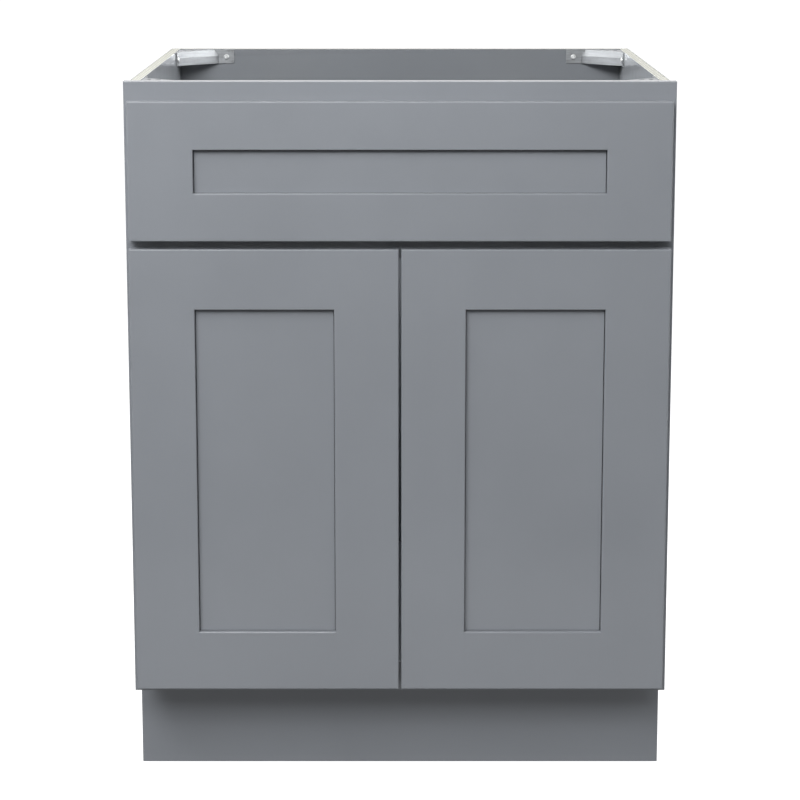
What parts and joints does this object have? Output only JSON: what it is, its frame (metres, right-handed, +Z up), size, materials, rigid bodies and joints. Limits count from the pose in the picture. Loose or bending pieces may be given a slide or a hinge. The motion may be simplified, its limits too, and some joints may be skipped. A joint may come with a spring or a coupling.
{
  "type": "kitchen base cabinet",
  "caption": "Open-topped sink base cabinet: face frame, fixed false drawer front, two framed flat-panel doors on cup hinges, recessed toe kick and sheet-metal corner braces.",
  "frame": {"origin": "centre of the footprint, doors included, on the floor", "axes": "+Z up; the doors face -Y; seen from the front, left is -X"},
  "size_m": [0.6604, 0.6316, 0.8763],
  "materials": {
    "painted_wood": "satin cool grey paint",
    "raw_plywood": "unfinished pale plywood",
    "zinc_steel": "bright zinc plated sheet and screws",
    "nickel_steel": "nickel plated",
    "bumper": "translucent soft bumper"
  },
  "bodies": {
    "cabinet": {"side_panel_left": "painted_wood", "side_panel_right": "painted_wood", "back_panel": "painted_wood", "floor_panel": "painted_wood", "toe_kick_board": "painted_wood", "frame_rail_top": "painted_wood", "frame_rail_mid": "painted_wood", "frame_rail_bottom": "painted_wood", "frame_stile_left": "painted_wood", "frame_stile_right": "painted_wood", "false_front_stile_left": "painted_wood", "false_front_stile_right": "painted_wood", "false_front_rail_bottom": "painted_wood", "false_front_rail_top": "painted_wood", "false_front_panel": "painted_wood", "toe_kick_cleat": "raw_plywood", "false_front_cleat_left": "raw_plywood", "false_front_cleat_right": "raw_plywood", "corner_brace_front_left": "zinc_steel", "corner_brace_front_right": "zinc_steel", "corner_brace_back_left": "zinc_steel", "corner_brace_back_right": "zinc_steel", "brace_screw_front_left_wall": "zinc_steel", "brace_screw_front_left_side": "zinc_steel", "brace_screw_front_right_wall": "zinc_steel", "brace_screw_front_right_side": "zinc_steel", "brace_screw_back_left_wall": "zinc_steel", "brace_screw_back_left_side": "zinc_steel", "brace_screw_back_right_wall": "zinc_steel", "brace_screw_back_right_side": "zinc_steel", "hinge_arm_left_lower": "nickel_steel", "hinge_arm_left_upper": "nickel_steel", "hinge_arm_right_lower": "nickel_steel", "hinge_arm_right_upper": "nickel_steel", "hinge_screw_left_lower": "zinc_steel", "hinge_screw_left_upper": "zinc_steel", "hinge_screw_right_lower": "zinc_steel", "hinge_screw_right_upper": "zinc_steel"},
    "left_door": {"left_door_stile_hinge": "painted_wood", "left_door_stile_meeting": "painted_wood", "left_door_rail_top": "painted_wood", "left_door_rail_bottom": "painted_wood", "left_door_panel": "painted_wood", "hinge_cup_left_lower": "nickel_steel", "hinge_cup_left_upper": "nickel_steel", "hinge_pin_left_lower": "nickel_steel", "hinge_pin_left_upper": "nickel_steel", "door_bumper_left_lower": "bumper", "door_bumper_left_upper": "bumper"},
    "right_door": {"right_door_stile_hinge": "painted_wood", "right_door_stile_meeting": "painted_wood", "right_door_rail_top": "painted_wood", "right_door_rail_bottom": "painted_wood", "right_door_panel": "painted_wood", "hinge_cup_right_lower": "nickel_steel", "hinge_cup_right_upper": "nickel_steel", "hinge_pin_right_lower": "nickel_steel", "hinge_pin_right_upper": "nickel_steel", "door_bumper_right_lower": "bumper", "door_bumper_right_upper": "bumper"}
  },
  "joints": [
    {"name": "left_door_swing", "type": "hinge", "parent": "cabinet", "child": "left_door", "pos_m": [-0.3176, -0.307, 0.403], "axis": [0, 0, -1], "range_deg": [0, 105]},
    {"name": "right_door_swing", "type": "hinge", "parent": "cabinet", "child": "right_door", "pos_m": [0.3176, -0.307, 0.403], "axis": [0, 0, 1], "range_deg": [0, 105]}
  ]
}
